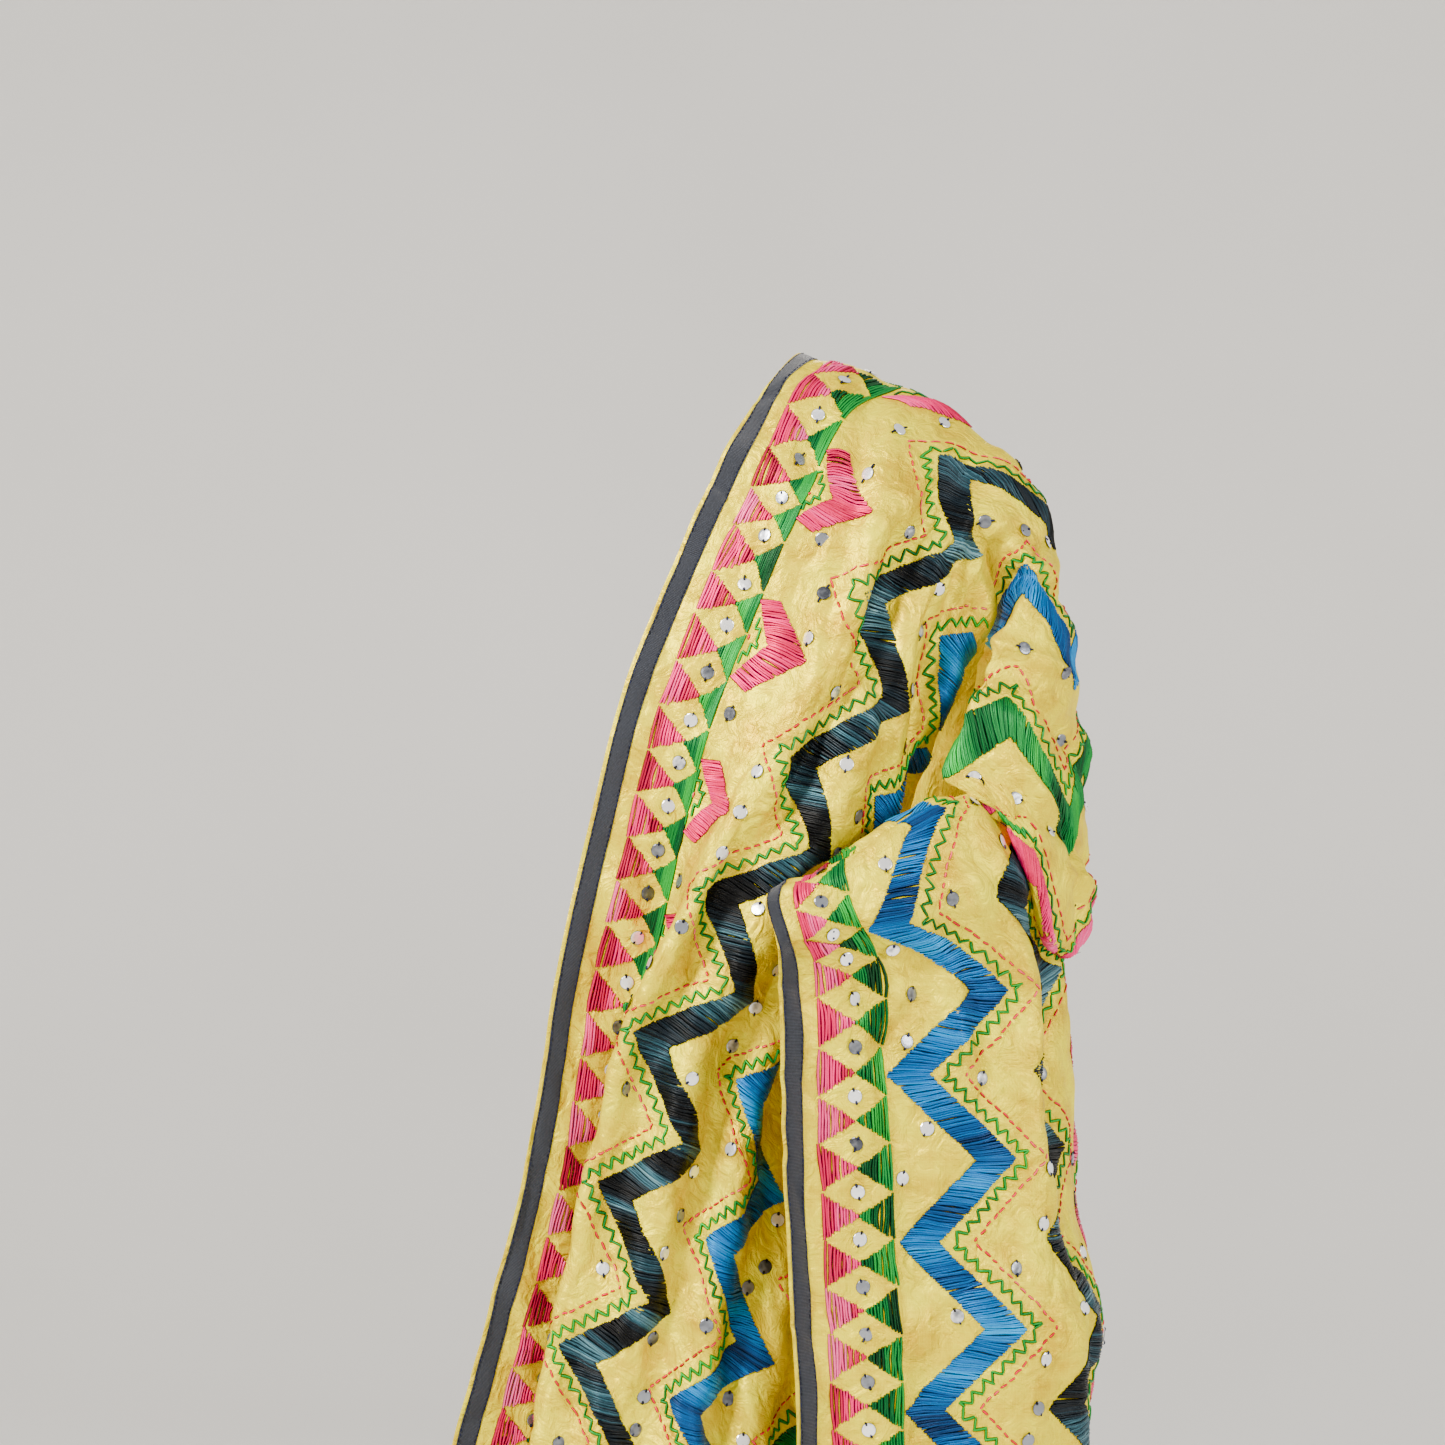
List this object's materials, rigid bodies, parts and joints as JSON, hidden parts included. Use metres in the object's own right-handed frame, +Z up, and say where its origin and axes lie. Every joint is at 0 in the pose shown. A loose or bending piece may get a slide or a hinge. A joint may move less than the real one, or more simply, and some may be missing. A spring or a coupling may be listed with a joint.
{
  "type": "embroidered dupatta",
  "caption": "Yellow silk dupatta worn open over the left shoulder and forearm, embroidered with zigzag bands, triangle borders and small round mirrors.",
  "frame": {"origin": "top of the wearer's left shoulder, under the cloth's ridge, where the shoulder holds it up", "axes": "+Z up, +X to the wearer's left along the shoulders, -Y to the wearer's front"},
  "size_m": [0.5332, 0.3802, 1.216],
  "materials": {
    "yellow_silk": "satin",
    "grey_tape": "matte"
  },
  "bodies": {
    "root": {"front_fall": "yellow_silk", "shoulder_yoke": "yellow_silk", "arm_sleeve": "yellow_silk", "back_fall": "yellow_silk", "forearm_fall": "yellow_silk", "forearm_wrap": "yellow_silk", "tape_front_edge": "grey_tape", "tape_shoulder_edge": "grey_tape", "tape_back_edge": "grey_tape", "tape_wrist_edge": "grey_tape", "tape_wrist_roll": "grey_tape"}
  },
  "joints": []
}
